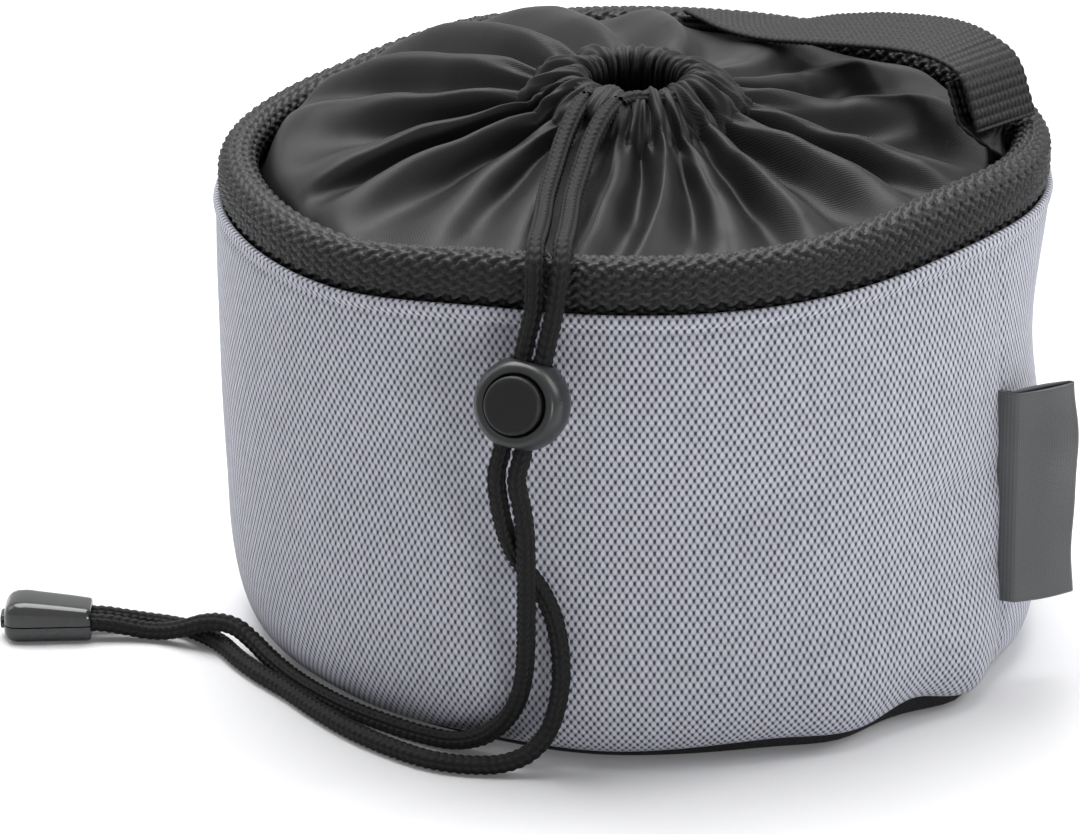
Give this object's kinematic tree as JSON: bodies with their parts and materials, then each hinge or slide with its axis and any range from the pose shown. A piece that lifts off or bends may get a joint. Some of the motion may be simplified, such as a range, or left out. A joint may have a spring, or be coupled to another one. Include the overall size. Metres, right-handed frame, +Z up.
{
  "type": "peg bag",
  "caption": "Round soft peg bag with a grey mesh wall, webbing rim, gathered black collar, drawcord with a sprung lock and end clip, hanging strap and side label.",
  "frame": {"origin": "middle of the base panel's underside, on the surface that the bag stands on", "axes": "+Z up along the bag's axis, -Y towards the front where the drawcord hangs, +X to the right"},
  "size_m": [0.2448, 0.2077, 0.1338],
  "materials": {
    "grey_mesh": "coarse two-tone mesh weave",
    "lining": "plain weave",
    "base_cloth": "plain weave",
    "board": "fine grain",
    "rim_webbing": "coarse webbing",
    "hoop": "smooth",
    "collar_twill": "fine twill with a slight sheen",
    "cord": "braided",
    "lock_plastic": "satin",
    "spring_steel": "drawn wire",
    "clip_plastic": "glossy",
    "strap_webbing": "ribbed webbing",
    "hook_tape": "hook-and-loop tape",
    "label_tape": "woven tape, bare"
  },
  "bodies": {
    "bag": {"side_wall": "grey_mesh", "side_lining": "lining", "base_panel": "base_cloth", "base_board": "board", "base_lining": "lining", "rim_binding": "rim_webbing", "rim_hoop": "hoop", "collar": "collar_twill", "cord_channel": "collar_twill", "drawcord_loop": "cord", "drawcord_left": "cord", "drawcord_right": "cord", "strap_root": "strap_webbing", "strap_tab": "strap_webbing", "tab_loop_patch": "hook_tape", "clip_lower_half": "clip_plastic", "clip_knot": "cord"},
    "cord_lock": {"lock_body": "lock_plastic", "lock_spring": "spring_steel"},
    "lock_button": {"lock_button": "lock_plastic"},
    "hanging_strap": {"hanging_strap": "strap_webbing", "strap_hook_patch": "hook_tape"},
    "label": {"label": "label_tape"},
    "clip_upper": {"clip_upper_half": "clip_plastic"}
  },
  "joints": [
    {"name": "lock_slide", "type": "slide", "parent": "bag", "child": "cord_lock", "axis": [0.2166, 0.212, 0.9529], "range_m": [-0.006, 0.004]},
    {"name": "button_press", "type": "slide", "parent": "cord_lock", "child": "lock_button", "axis": [0.2889, 0.9185, -0.2701], "range_m": [0, 0.0025], "stiffness_N_per_m": 400, "springref_m": -0.002, "deforming": ["lock_spring"]},
    {"name": "strap_swing", "type": "hinge", "parent": "bag", "child": "hanging_strap", "pos_m": [0.02174, 0.08114, 0.1188], "axis": [-0.9659, 0.2588, 0], "range_deg": [0, 110]},
    {"name": "label_flap", "type": "hinge", "parent": "bag", "child": "label", "pos_m": [0.08403, -0.04774, 0.046], "axis": [0, 0, 1], "range_deg": [-115, 18]},
    {"name": "clip_hinge", "type": "hinge", "parent": "bag", "child": "clip_upper", "pos_m": [-0.1459, -0.0172, 0.0042], "axis": [0, -1, 0], "range_deg": [0, 120]}
  ]
}
